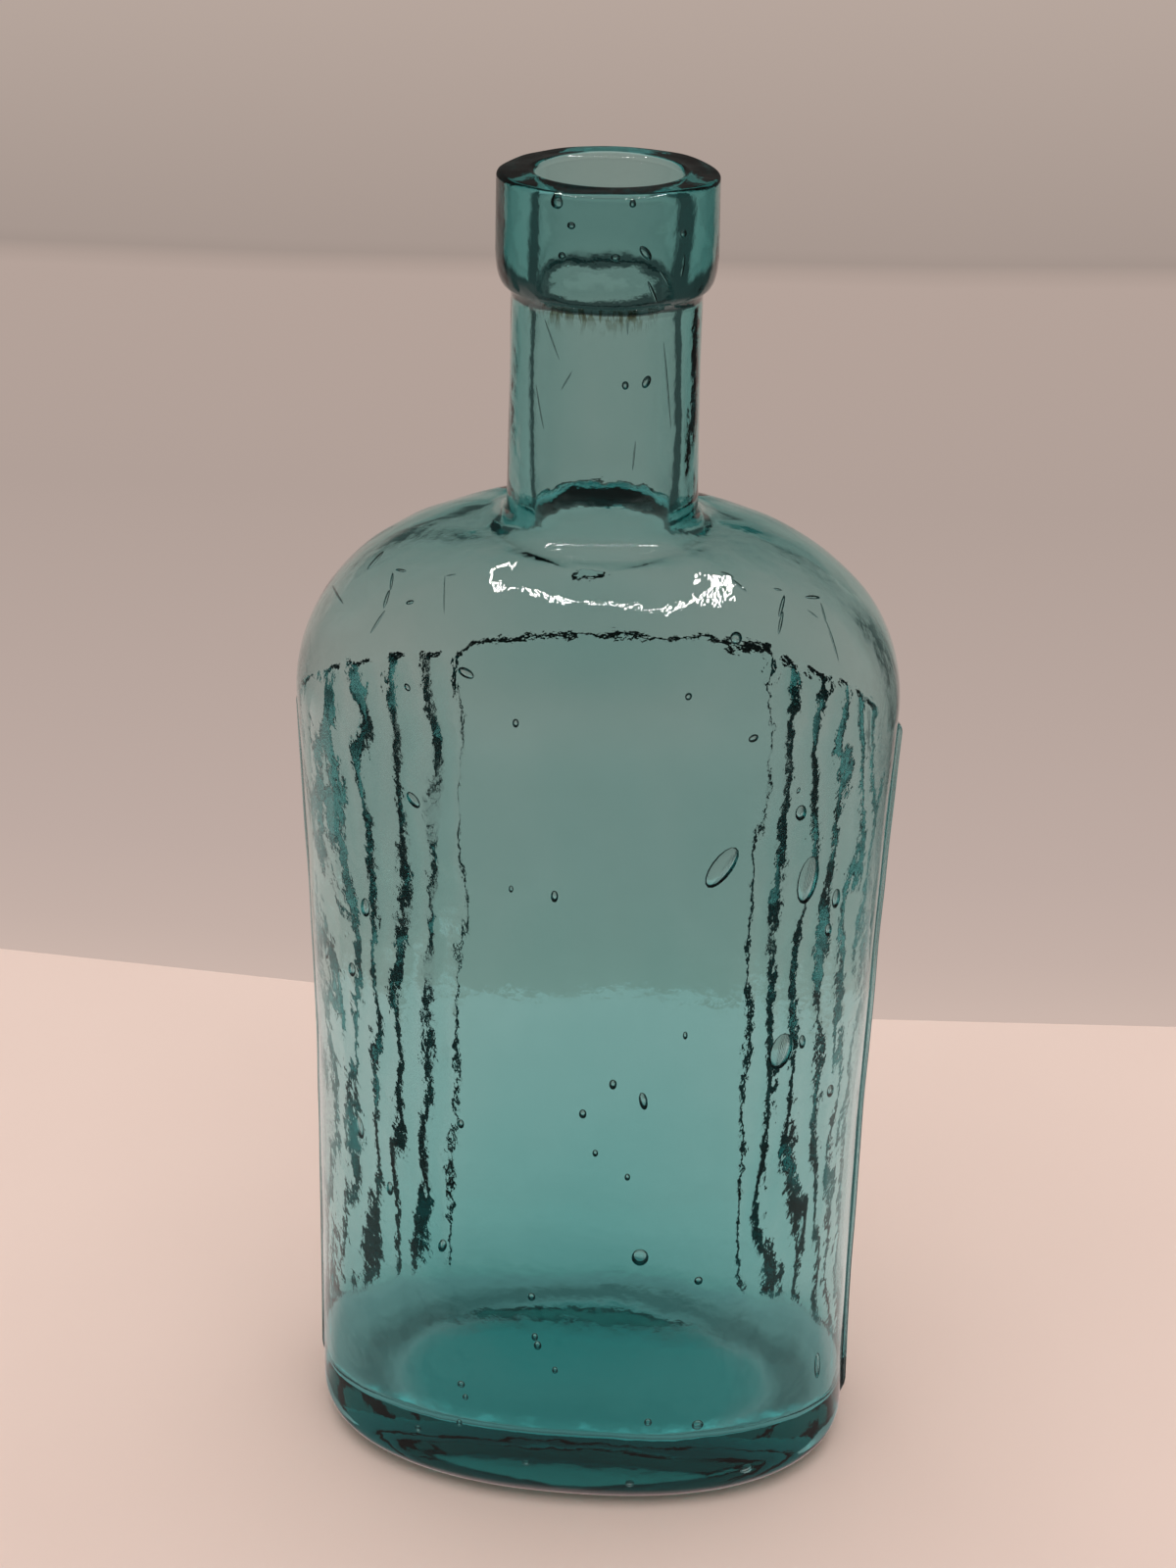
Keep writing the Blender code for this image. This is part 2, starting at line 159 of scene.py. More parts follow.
# Surroundings
CARD_HEIGHT = 0.5
RING_HEIGHT, RING_WIDTH, RING_STRENGTH = 0.7, 0.012, 60.0
LAMP_PLACE, LAMP_SIZE, LAMP_WATTS = (0.0, -0.05, 0.85), 1.0, 5.6
BOUNCES = 24

# Where the glass stops showing the surroundings lit, from a start to an end, and what it shows from there on
CARD_DIM_ASIDE, CARD_DIM_ABOVE, CARD_DIM = (0.078, 0.11), (0.152, 0.168), (0.07, 0.065, 0.06, 1.0)
PAPER_DIM_ASIDE, PAPER_DIM = (0.11, 0.2), (0.09, 0.095, 0.09, 1.0)
ROOM_DIM_ASIDE, ROOM_DIM_ABOVE, ROOM_DIM_BEHIND = (0.3, 0.5), (0.35, 0.6), (0.2, -0.1)
ROOM_DIM = (0.04, 0.037, 0.034, 1.0)

# Bubbles and cords in the front wall, the three large ones first: x, height, width and length in mm, and the lean
# of the length in degrees. None lies deeper, or is thicker, than the two measures above the table.
BUBBLE_DEPTH = 1.3 * MM
BUBBLE_HALF_THICKNESS = 0.45 * MM
BUBBLES = (
    (27.6, 97.5, 2.97, 6.60, 6), (25.7, 73.3, 3.22, 5.31, 8), (17.0, 100.9, 2.79, 6.12, 31),
    (26.1, 107.1, 1.51, 2.14, -4), (31.3, 93.6, 1.33, 2.75, 1), (30.6, 89.4, 1.09, 1.88, -5),
    (25.6, 110.2, 0.46, 0.84, 18), (19.9, 117.8, 0.91, 1.25, 63), (-20.5, 107.1, 1.40, 2.33, -40),
    (-27.4, 90.0, 1.46, 2.73, 3), (-33.4, 80.2, 0.76, 2.64, 5), (-29.7, 79.8, 1.25, 2.11, 3),
    (-29.2, 55.8, 1.43, 3.49, -8), (8.6, 67.7, 1.11, 2.64, -10), (-3.0, 96.6, 0.94, 1.61, -1),
    (4.7, 70.1, 0.98, 1.48, -1), (1.0, 65.4, 0.99, 1.34, -1), (28.3, 73.9, 0.99, 2.12, -5),
    (32.4, 64.4, 1.28, 1.95, -6), (-17.5, 41.6, 1.18, 2.18, 13), (8.9, 43.2, 2.20, 2.71, -2),
    (16.7, 39.0, 1.18, 1.32, -3), (-5.3, 35.6, 1.06, 1.32, 0), (-4.8, 28.9, 0.94, 1.32, -1),
    (-4.4, 27.5, 1.07, 1.48, -1), (-2.0, 23.6, 0.81, 1.17, -1), (-15.0, 18.8, 1.10, 1.21, 0),
    (-14.4, 16.7, 0.83, 1.05, 0), (17.6, 14.1, 1.66, 1.74, -2), (10.8, 15.1, 1.10, 1.38, -2),
    (-21.4, 8.7, 0.99, 1.24, 1), (-15.3, 11.9, 0.84, 1.22, 0), (33.8, 17.9, 1.26, 4.79, -5),
    (24.8, 4.7, 1.98, 1.65, -3), (8.6, 4.1, 1.26, 1.23, -2), (-5.8, 6.8, 1.12, 0.89, 0),
    (-14.0, 124.4, 1.13, 2.09, -70), (-21.2, 121.5, 0.69, 1.03, -43), (-7.9, 119.1, 0.79, 1.07, -2),
    (12.1, 123.2, 0.79, 0.90, 30), (-8.3, 97.1, 0.59, 0.95, 0), (13.5, 77.4, 0.61, 1.15, -2),
    (-24.9, 48.2, 1.05, 2.22, 1), (-14.8, 61.7, 0.88, 1.36, 0), (17.3, 129.4, 1.46, 1.47, 9),
    (6.9, 56.0, 0.76, 1.07, -2), (2.7, 59.5, 0.75, 1.05, -1), (-5.2, 176.6, 1.53, 1.47, -1),
    (3.6, 177.7, 0.76, 0.81, 9), (-3.4, 174.3, 0.98, 0.85, -1), (-4.5, 170.9, 0.88, 0.85, -1),
    (1.9, 171.1, 1.09, 0.86, -1), (5.3, 171.5, 0.98, 1.96, -37), (9.4, 173.1, 0.88, 0.97, -3),
    (9.5, 169.6, 0.44, 2.56, 8), (6.2, 166.9, 0.44, 2.95, -27), (7.5, 168.5, 0.33, 2.29, -35),
    (-5.8, 160.8, 0.18, 4.74, -25), (-7.2, 152.7, 0.18, 5.20, -15), (4.6, 147.9, 0.18, 3.47, 4),
    (3.4, 162.8, 0.18, 1.66, -1), (-3.9, 156.4, 0.18, 2.65, 28), (8.2, 155.5, 0.23, 10.60, -7),
    (5.8, 156.4, 1.01, 1.52, 28), (3.3, 156.2, 0.78, 1.01, -1), (15.8, 135.2, 0.40, 1.61, -43),
    (17.2, 134.3, 0.34, 2.29, -29), (21.8, 133.2, 0.34, 1.04, -59), (22.4, 131.8, 0.51, 3.04, 42),
    (22.4, 130.3, 0.45, 2.84, 31), (26.0, 131.6, 0.52, 2.20, -67), (27.4, 130.0, 0.29, 2.60, 23),
    (28.7, 127.2, 0.29, 4.80, 5), (26.1, 130.3, 0.18, 1.63, -34), (-26.7, 132.1, 0.77, 3.07, 158),
    (-23.2, 132.8, 0.41, 1.77, -107), (-24.2, 131.7, 0.41, 2.53, -40), (-24.6, 130.1, 0.52, 2.26, -15),
    (-25.5, 127.7, 0.35, 3.22, 15), (-31.5, 127.7, 0.30, 6.35, -92), (-17.3, 132.2, 0.16, 4.79, -23),
    (-16.7, 134.0, 0.16, 1.25, -118), (-21.5, 130.6, 0.52, 1.08, -118))


# ---------------------------------------------------------------- camera

def aim_camera():
    """The photograph's camera: above the bottle's shoulder, a little to its right, tipped down by 27 degrees."""
    turn, dip, roll = CAMERA_TURN, CAMERA_DIP, CAMERA_ROLL
    level = np.array([math.cos(turn), math.sin(turn), 0.0])
    ahead = np.array([-math.sin(turn) * math.cos(dip), math.cos(turn) * math.cos(dip), -math.sin(dip)])
    rise = np.cross(level, ahead)
    right = math.cos(roll) * level + math.sin(roll) * rise
    up = -math.sin(roll) * level + math.cos(roll) * rise
    data = bpy.data.cameras.new("view")
    data.sensor_width = CAMERA_SENSOR
    data.lens = CAMERA_LENS
    data.clip_start = 0.01
    camera = bpy.data.objects.new("view", data)
    axes = np.stack([right, up, -ahead], axis=1)
    placed = np.eye(4)
    placed[:3, :3] = axes
    placed[:3, 3] = CAMERA_PLACE
    camera.matrix_world = Matrix(placed.tolist())
    bpy.context.scene.collection.objects.link(camera)
    bpy.context.scene.camera = camera


# ---------------------------------------------------------------- noise

def ripple(points, wavelength, seed, waves=20):
    """Smooth noise, mostly between -1 and 1: a sum of plane sine waves in seeded directions, with lengths near the one
    given (one number, or one for each axis)."""
    rng = np.random.default_rng(seed)
    heading = rng.normal(size=(waves, 3))
    heading /= np.linalg.norm(heading, axis=1, keepdims=True)
    pace = heading / (rng.uniform(0.65, 1.5, (waves, 1)) * np.broadcast_to(wavelength, (3,)))
    return np.sin(points @ pace.T * TURN + rng.uniform(0, TURN, waves)).sum(axis=-1) * math.sqrt(1.2 / waves)


def wander(height, wavelength, seed, waves=9):
    """Smooth noise along one line, mostly between -1 and 1: a sum of sine waves with seeded phases."""
    rng = np.random.default_rng(seed)
    pace = TURN / (wavelength * rng.uniform(0.5, 1.9, waves))
    return np.sin(height[..., None] * pace + rng.uniform(0, TURN, waves)).sum(axis=-1) * math.sqrt(1.2 / waves)


def smooth(value, low, high):
    """0 below low, 1 above high, and an S curve between."""
    share = np.clip((value - low) / (high - low), 0.0, 1.0)
    return share * share * (3 - 2 * share)


def zone(z, start, full, waning, end):
    """1 between the heights full and waning, fading to 0 at start and at end. These four are in mm."""
    return smooth(z, start * MM, full * MM) * (1 - smooth(z, waning * MM, end * MM))


# ---------------------------------------------------------------- outline

def quarter(share, power, end_power):
    """Falls from 1 to 0 as share goes from 0 to 1, along a quarter of a rounded outline."""
    return (1 - np.clip(share, 0.0, 1.0) ** power) ** (1 / end_power)


def oval(half_width, half_depth, power, angles):
    """Points of a superellipse, |x/a|^p + |y/b|^p = 1, one row for each size."""
    cos, sin = np.cos(angles), np.sin(angles)
    x = half_width * np.sign(cos) * np.abs(cos) ** (2 / power)
    y = half_depth * np.sign(sin) * np.abs(sin) ** (2 / power)
    return x, y


def arc_table():
    """Angles from the middle of the +Y face to the +X end, and the distance along the oval to each."""
    angles = np.linspace(math.pi / 2, 0.0, 4001)
    x, y = oval(HALF_WIDTH, HALF_DEPTH, OVAL_POWER, angles)
    return angles, np.concatenate([[0.0], np.cumsum(np.hypot(np.diff(x), np.diff(y)))])


ARC_ANGLES, ARC_LENGTHS = arc_table()


def column_angles():
    """Angles of the columns round the bottle: fine over the ribs and seams, wider on the panel and the plain face.
    Their number is even."""
    seam_half = SEAM_WIDTH / 2 + 0.15 * MM
    seam = np.arcsin((np.linspace(0.0, 1.0, 8)[1:] * seam_half / HALF_DEPTH) ** (OVAL_POWER / 2))
    rib_zone = PANEL_HALF_WIDTH - 1.2 * MM
    seam_along = np.interp(-seam[-1], -ARC_ANGLES, ARC_LENGTHS)
    along = np.concatenate([np.linspace(0.0, rib_zone, 26)[:-1], np.linspace(rib_zone, seam_along, 78)[:-1]])
    right_back = np.interp(along, ARC_LENGTHS, ARC_ANGLES)
    plain = np.linspace(seam[-1], math.pi / 2, 38)[1:-1]
    quarter_back = np.concatenate([seam, right_back])
    quarter_front = np.concatenate([seam, plain])
    every = np.concatenate([
        [0.0, math.pi, -math.pi / 2], quarter_back, math.pi - quarter_back,
        -quarter_front, quarter_front - math.pi])
    every = np.unique(np.round(every % TURN, 7))
    return every if len(every) % 2 == 0 else np.delete(every, 1)


def heights(*stretches):
    """One array of heights from stretches of (start, end, steps), each without its last height."""
    return np.concatenate([np.linspace(start, end, steps, endpoint=False) for start, end, steps in stretches])


def waist_at(z):
    """How far the ends of the oval sink in at the heights z, most at mid-height."""
    share = np.clip((z - HEEL_ROUND) / (SHOULDER_START - HEEL_ROUND), 0.0, 1.0)
    return WAIST * np.sin(math.pi * share)


def outside_rows():
    """Half width, half depth, power, height and share of depth left for each row, from the underside's middle to the
    rim's inner edge."""
    rows = []
    edge = HEEL_ROUND + REST_RING_WIDTH
    for share in np.linspace(0.08, 1.0, 12):
        rise = PUSH_UP_HEIGHT * (1 - share ** 2)
        rows.append(((HALF_WIDTH - edge) * share, (HALF_DEPTH - edge) * share, OVAL_POWER, rise, 1.0))
    for turn in np.linspace(0.0, math.pi / 2, 10, endpoint=False):
        inset = HEEL_ROUND * (1 - math.sin(turn))
        rise = HEEL_ROUND * (1 - math.cos(turn))
        rows.append((HALF_WIDTH - inset, HALF_DEPTH - inset, OVAL_POWER, rise, 1.0))
    climb = SHOULDER_END - ARCH_TOP - 2 * MM
    shoulder_rows = ARCH_TOP + 2 * MM + climb * np.sin(np.linspace(0.0, math.pi / 2, 26, endpoint=False))
    wall = np.concatenate([
        heights((HEEL_ROUND, 104 * MM, 86), (104 * MM, ARCH_TOP + 2 * MM, 26)), shoulder_rows,
        SHOULDER_END + NECK_FILLET * np.sin(np.linspace(0.0, math.pi / 2, 6, endpoint=False)),
        heights((SHOULDER_END + NECK_FILLET, LIP_BOTTOM, 16))])
    share = (wall - SHOULDER_START) / (SHOULDER_END - SHOULDER_START)
    width_left = quarter(share, SHOULDER_POWER, SHOULDER_WIDTH_POWER)
    depth_left = quarter(share, SHOULDER_POWER, SHOULDER_DEPTH_POWER)
    up_neck = np.clip((wall - SHOULDER_END) / (LIP_BOTTOM + NECK_IN_LIP - SHOULDER_END), 0.0, 1.0)
    fillet = np.clip((wall - SHOULDER_END) / NECK_FILLET, 0.0, 1.0)
    neck = NECK_FOOT_RADIUS + (NECK_TOP_RADIUS - NECK_FOOT_RADIUS) * up_neck
    neck = neck + NECK_FILLET * (1 - quarter(1 - fillet, 2.0, 2.0))
    half_width = neck + (HALF_WIDTH - waist_at(wall) - neck) * width_left
    half_depth = neck + (HALF_DEPTH - neck) * depth_left
    power = 2 + (OVAL_POWER - 2) * depth_left
    rows += list(zip(half_width, half_depth, power, wall, depth_left))
    inner = float(neck[-1])
    rows.append((inner, inner, 2.0, LIP_BOTTOM, 0.0))
    edge_radius = inner + LIP_EDGE
    for turn in np.linspace(0.0, math.pi / 2, 9):
        radius = edge_radius + (LIP_RADIUS - edge_radius) * math.sin(turn)
        rows.append((radius, radius, 2.0, LIP_BOTTOM + LIP_UNDER_ROUND * (1 - math.cos(turn)), 0.0))
    side_top = TOTAL_HEIGHT - RIM_OUTER_ROUND
    side_foot = LIP_BOTTOM + LIP_UNDER_ROUND
    for climb in np.linspace(0.0, 1.0, 10)[1:-1]:
        radius = LIP_RADIUS - LIP_TAPER * climb
        rows.append((radius, radius, 2.0, side_foot + (side_top - side_foot) * climb, 0.0))
    for turn in np.linspace(0.0, math.pi / 2, 7):
        radius = LIP_RADIUS - LIP_TAPER - RIM_OUTER_ROUND * (1 - math.cos(turn))
        rows.append((radius, radius, 2.0, side_top + RIM_OUTER_ROUND * math.sin(turn), 0.0))
    flat_end = MOUTH_RADIUS + RIM_INNER_ROUND
    middle = (LIP_RADIUS - LIP_TAPER - RIM_OUTER_ROUND + flat_end) / 2
    rows.append((middle, middle, 2.0, TOTAL_HEIGHT, 0.0))
    rows.append((flat_end, flat_end, 2.0, TOTAL_HEIGHT, 0.0))
    return np.array(rows).T


def face_wall_at(z):
    """Thickness of the two faces' walls: it falls by a square law from the floor to the shoulder, and a little more
    over it."""
    climb = np.clip((z - FLOOR_THICKNESS) / (SHOULDER_START - FLOOR_THICKNESS), 0.0, 1.0)
    thinned = FACE_WALL_LOSS * smooth(z, 110 * MM, 122 * MM)
    return FACE_WALL + (FACE_WALL_AT_FLOOR - FACE_WALL) * (1 - climb) ** 2 - thinned


def by_height(z, low, middle, top):
    """A value that goes from low to middle below mid-height and to top just under the shoulder."""
    return low + (middle - low) * smooth(z, 50 * MM, 90 * MM) + (top - middle) * smooth(z, 100 * MM, 113 * MM)


def end_wall_at(z):
    """Thickness of the two ends' walls: thinnest at mid-height, thicker again under the shoulder."""
    return by_height(z, END_WALL_LOW, END_WALL, END_WALL_TOP)


def inner_power_at(z):
    """How square the inside's oval is: rounder at mid-height than at the foot and under the shoulder."""
    return by_height(z, INNER_POWER_LOW, INNER_POWER, INNER_POWER_TOP)


def inside_rows():
    """Half width, half depth, power and height of each row of the inside, from the rim's inner edge down to the middle
    of the floor."""
    rows = []
    for turn in np.linspace(0.0, math.pi / 2, 7)[1:]:
        radius = MOUTH_RADIUS + RIM_INNER_ROUND * (1 - math.sin(turn))
        rows.append((radius, radius, 2.0, TOTAL_HEIGHT - RIM_INNER_ROUND * (1 - math.cos(turn))))
    for share in np.linspace(0.0, 1.0, 13)[1:]:
        radius = BORE_TOP_RADIUS + (MOUTH_RADIUS - BORE_TOP_RADIUS) * (1 - share) ** 1.5
        z = TOTAL_HEIGHT - RIM_INNER_ROUND + (MOUTH_FOOT - TOTAL_HEIGHT + RIM_INNER_ROUND) * share
        rows.append((radius, radius, 2.0, z))
    ceiling = SHOULDER_END - SHOULDER_WALL
    bore_foot = ceiling + BORE_MOUTH_ROUND
    for share in np.linspace(0.0, 1.0, 20)[1:-1]:
        radius = BORE_TOP_RADIUS + (BORE_FOOT_RADIUS - BORE_TOP_RADIUS) * share
        rows.append((radius, radius, 2.0, MOUTH_FOOT + (bore_foot - MOUTH_FOOT) * share))
    collar = BORE_FOOT_RADIUS + BORE_MOUTH_ROUND
    for turn in np.linspace(math.pi / 2, 0.0, 8):
        radius = collar - BORE_MOUTH_ROUND * math.sin(turn)
        rows.append((radius, radius, 2.0, ceiling + BORE_MOUTH_ROUND * (1 - math.cos(turn))))
    floor_end = FLOOR_THICKNESS + FLOOR_CORNER
    down = np.concatenate([
        SHOULDER_START + (ceiling - SHOULDER_START) * np.sin(np.linspace(math.pi / 2, 0.0, 22)[1:]),
        heights((SHOULDER_START, floor_end, 60))[1:]])
    share = (down - SHOULDER_START) / (ceiling - SHOULDER_START)
    width_left = quarter(share, SHOULDER_POWER, SHOULDER_WIDTH_POWER)
    depth_left = quarter(share, SHOULDER_POWER, INSIDE_DEPTH_POWER)
    width = collar + (HALF_WIDTH - waist_at(down) - end_wall_at(down) - collar) * width_left
    depth = collar + (HALF_DEPTH - face_wall_at(down) - collar) * depth_left
    rows += list(zip(width, depth, 2 + (inner_power_at(down) - 2) * depth_left, down))
    face_low = float(face_wall_at(floor_end))
    for turn in np.linspace(math.pi / 2, 0.0, 11):
        z = FLOOR_THICKNESS + FLOOR_CORNER * (1 - math.cos(turn))
        inset = FLOOR_CORNER * (1 - math.sin(turn))
        width = HALF_WIDTH - float(waist_at(z)) - END_WALL_LOW - inset
        rows.append((width, HALF_DEPTH - face_low - inset, INNER_POWER_LOW, z))
    half_width, half_depth = HALF_WIDTH - END_WALL_LOW - FLOOR_CORNER, HALF_DEPTH - face_low - FLOOR_CORNER
    for share in np.linspace(1.0, 0.08, 10)[1:]:
        z = FLOOR_THICKNESS + FLOOR_DOME * (1 - share ** 2)
        rows.append((half_width * share, half_depth * share, INNER_POWER_LOW, z))
    return np.array(rows).T


# ---------------------------------------------------------------- relief

def rib_relief(along, side, z, top):
    """Height of the ribs: a rounded section about a centre line that wanders, with a height and a width that vary up
    the wall, ending in a rounded top. The ribs lie closer together towards the foot, more so on the right."""
    ribs = np.zeros_like(along)
    for k in range(RIB_COUNT):
        for hand in (-1, 1):
            seed = 40 + 10 * k + hand
            spread = smooth(z, SPREAD_START, SPREAD_END) * (1.0 if hand < 0 else SPREAD_ON_RIGHT)
            centre = FIRST_RIB + (RIB_PITCH_AT_FOOT + (RIB_PITCH - RIB_PITCH_AT_FOOT) * spread) * k
            centre = centre + RIB_SWAY * wander(z, RIB_SWAY_LENGTH, seed)
            centre = centre + RIB_JITTER * wander(z, RIB_JITTER_LENGTH, seed + 3)
            width = RIB_WIDTH * (1 + RIB_WIDTH_STRAY * wander(z, 14 * MM, seed + 5))
            gain = RIB_TOP_GAIN * smooth(z, top - 14 * MM, top - 4 * MM)
            height = RIB_HEIGHT * (1 + RIB_HEIGHT_STRAY * wander(z, 20 * MM, seed + 7) + gain)
            reach = np.abs(along - centre) / (width / 2)
            end = np.clip((top - z) / RIB_END, 0.0, 1.0)
            rounded_end = np.sqrt(np.clip(1 - (1 - end) ** 2, 0.0, 1.0))
            crest = 1 + RIB_CREST / 2 - np.sqrt(reach ** 2 + RIB_CREST ** 2)
            ribs = np.maximum(ribs, height * np.clip(crest, 0.0, None) * rounded_end * (side == hand))
    return ribs


def panel_relief(along, side, z, arch):
    """Height of the panel: a step whose edge is a ragged rounded rectangle under the arch. It is a little higher at its
    top and right, and its right side bows out above mid-height."""
    ragged = PANEL_RAGGED * wander(along * 1.3 + z, PANEL_RAGGED_LENGTH, 5)
    ragged = ragged + PANEL_FRAYED * wander(z - along * 1.7, PANEL_FRAYED_LENGTH, 6)
    bulge = PANEL_BULGE * np.exp(-((z - BULGE_HEIGHT) / BULGE_REACH) ** 2)
    bow = (PANEL_BOW * smooth(z, BOW_START, BOW_END) + bulge) * (side > 0)
    past_side = along - (PANEL_HALF_WIDTH + bow - PANEL_CORNER)
    past_top = z - (arch - PANEL_CORNER)
    outside = np.hypot(np.maximum(past_side, 0), np.maximum(past_top, 0))
    outside = outside + np.minimum(np.maximum(past_side, past_top), 0) - PANEL_CORNER + ragged
    lift = np.maximum(smooth(along, 11 * MM, 19.5 * MM) * (side > 0), smooth(z, arch - 12 * MM, arch - 3 * MM))
    return PANEL_HEIGHT * (1 + PANEL_LIFT * lift) * (1 - smooth(outside, -PANEL_EDGE / 2, PANEL_EDGE / 2))


def wall_relief(angles, x, y, z):
    """How far the ribs, the panel and the seams stand out of the plain oval."""
    folded = np.arcsin(np.clip(np.sin(angles), 0.0, 1.0))
    along = np.broadcast_to(np.interp(-folded, -ARC_ANGLES, ARC_LENGTHS), x.shape)
    side = np.broadcast_to(np.where(np.cos(angles) >= 0, 1, -1), x.shape)
    plain_x, plain_y = oval(HALF_WIDTH, HALF_DEPTH, OVAL_POWER, angles)
    arch = ARCH_TOP - ARCH_DROP * (plain_x / ARCH_HALF_WIDTH) ** 2
    back = np.sin(angles) > 1e-9
    foot = smooth(z, HEEL_ROUND - 1.0 * MM, HEEL_ROUND + 2.0 * MM)
    ribs = rib_relief(along, side, z, arch - RIB_DROP)
    panel = panel_relief(along, side, z, arch + PANEL_RISE + PANEL_LEAN * plain_x)
    face = np.maximum(ribs, panel) * back
    flank = (SEAM_WIDTH - SEAM_CREST_WIDTH) / 2
    off_seam = np.abs(plain_y)
    seam_top = np.sqrt(np.clip((SEAM_TOP - z) / SEAM_END, 0.0, 1.0))
    seam = SEAM_HEIGHT * smooth(SEAM_WIDTH / 2 - off_seam, 0.0, flank) * seam_top
    return np.maximum(face, seam) * foot


# ---------------------------------------------------------------- meshes

def grid_normals(points):
    """Unit normals of a grid that closes round its columns: across cross along."""
    across = np.roll(points, -1, axis=1) - np.roll(points, 1, axis=1)
    along = np.gradient(points, axis=0)
    normals = np.cross(across, along)
    return normals / np.maximum(np.linalg.norm(normals, axis=2, keepdims=True), 1e-12)


def outer_skin(angles):
    """The outside as a grid of points, and how much of the mould's grain, and of the orange peel on the front, the neck
    and the lip, each point carries. The back is sunk by the panel's height, so that the panel ends at full depth."""
    half_width, half_depth, power, z, depth_left = (v[:, None] for v in outside_rows())
    room = PANEL_HEIGHT * (1 + PANEL_LIFT) * (np.sin(angles) > 1e-9) * depth_left
    depth = half_depth - room
    x, y = oval(half_width, depth, power, angles)
    z = np.broadcast_to(z, x.shape)
    points = np.stack([x, y, z], axis=2)
    normals = grid_normals(points)
    flat = normals * (1, 1, 0)
    flat /= np.maximum(np.linalg.norm(flat, axis=2, keepdims=True), 1e-9)
    upright = (z > HEEL_ROUND * 0.55) & (z < SHOULDER_START)
    relief = np.where(upright, wall_relief(angles, x, y, z), 0.0)
    body = zone(z, 0.5, 9, 112, 120)
    lean = SWELL * ripple(points, SWELL_LENGTHS, 11) - SWELL
    fine = UNEVEN * ripple(points, UNEVEN_LENGTHS, 12)
    neck = zone(z, 137, 141, 163, 165)
    streaks = DRAWN * ripple(points, DRAWN_LENGTHS, 13) * neck
    inward = np.minimum(lean + fine + streaks, 0.0) * smooth(z, 0.2 * MM, 6 * MM)
    points = points + flat * relief[..., None] + normals * inward[..., None]
    back = smooth(np.sin(angles), 0.0, 0.12)
    along = np.interp(-np.arcsin(np.clip(np.sin(angles), 0.0, 1.0)), -ARC_ANGLES, ARC_LENGTHS)
    beside_panel = smooth(along, PANEL_HALF_WIDTH - 2 * MM, PANEL_HALF_WIDTH)
    rough = body * back * (0.4 + 0.6 * beside_panel * (1 - smooth(z, 108 * MM, 113 * MM)))
    front = 1 - smooth(np.sin(angles), -0.3, 0.1)
    chest = zone(z, 117, 121, 137, 140) * front
    on_neck = PEEL_ON_NECK * smooth(z, 136 * MM, 139 * MM)
    peel = np.maximum(np.maximum(PEEL_ON_BODY * (body * front), chest), on_neck)
    return points, LEAST_GRAIN + (1 - LEAST_GRAIN) * rough, peel


def inner_skin(angles):
    """The inside as a grid of points: the blown form, with slow swells and finer ripples in its thickness."""
    half_width, half_depth, power, z = (v[:, None] for v in inside_rows())
    x, y = oval(half_width, half_depth, power, angles)
    points = np.stack([x, y, np.broadcast_to(z, x.shape)], axis=2)
    normals = grid_normals(points)
    z = points[..., 2]
    chest, shoulder = zone(z, 12, 30, 100, 132), zone(z, 100, 116, 134, 138)
    floor, bore = 1 - smooth(z, 10 * MM, 18 * MM), smooth(z, 134 * MM, 140 * MM)
    parts = (chest, floor, shoulder, bore)
    swell = sum(amount * part for amount, part in zip(INNER_SWELL, parts)) * MM
    swell = swell * ripple(points, INNER_SWELL_LENGTHS, 21)
    fine = sum(amount * part for amount, part in zip(INNER_UNEVEN, parts)) * MM
    fine = fine * ripple(points, INNER_UNEVEN_LENGTHS, 22)
    calm = 1 - smooth(z, 166 * MM, 172 * MM)
    points = points + normals * ((swell + fine) * calm)[..., None]
    points[..., 0] -= INNER_SHIFT * (1 - smooth(z, 112 * MM, 134 * MM))
    return points


def bottle_mesh():
    """The glass as one mesh: the outside grid, the inside grid with half as many columns, a strip that joins them at
    the rim, a fan at each pole, and the bubbles' shells. With it goes what each point carries of grain and peel."""
    angles = column_angles()
    outer, grain, peel = outer_skin(angles)
    inner = inner_skin(angles[::2])
    rows, columns = outer.shape[:2]
    inner_rows, inner_columns = inner.shape[:2]
    underside = np.array([[0.0, 0.0, PUSH_UP_HEIGHT]])
    floor = inner[-1].mean(axis=0, keepdims=True)
    points = np.concatenate([outer.reshape(-1, 3), inner.reshape(-1, 3), underside, floor])

    def quads(first, rows, columns):
        index = first + np.arange(rows * columns).reshape(rows, columns)
        after = np.roll(index, -1, axis=1)
        return np.stack([index[:-1], after[:-1], after[1:], index[1:]], axis=2).reshape(-1, 4)

    start = rows * columns
    rim = (rows - 1) * columns + np.arange(columns)
    mouth = start + np.arange(inner_columns)
    next_mouth = np.roll(mouth, -1)
    even, odd, after = rim[::2], rim[1::2], np.roll(rim[::2], -1)
    last = start + (inner_rows - 1) * inner_columns + np.arange(inner_columns)
    first = np.arange(columns)
    pole_low, pole_floor = len(points) - 2, len(points) - 1
    four = np.concatenate([
        quads(0, rows, columns), quads(start, inner_rows, inner_columns),
        np.stack([odd, after, next_mouth, mouth], axis=1)])
    three = np.concatenate([
        np.stack([even, odd, mouth], axis=1),
        np.stack([np.full(columns, pole_low), np.roll(first, -1), first], axis=1),
        np.stack([last, np.roll(last, -1), np.full(inner_columns, pole_floor)], axis=1)])
    shells, shell_fours, shell_threes = bubble_shells()
    plain = np.zeros(inner_rows * inner_columns + 2 + len(shells))
    skin = dict(grain=np.concatenate([grain.ravel(), plain]), peel=np.concatenate([peel.ravel(), plain]))
    four = np.concatenate([four, shell_fours + len(points)])
    three = np.concatenate([three, shell_threes + len(points)])
    return np.concatenate([points, shells]), [four, three], skin


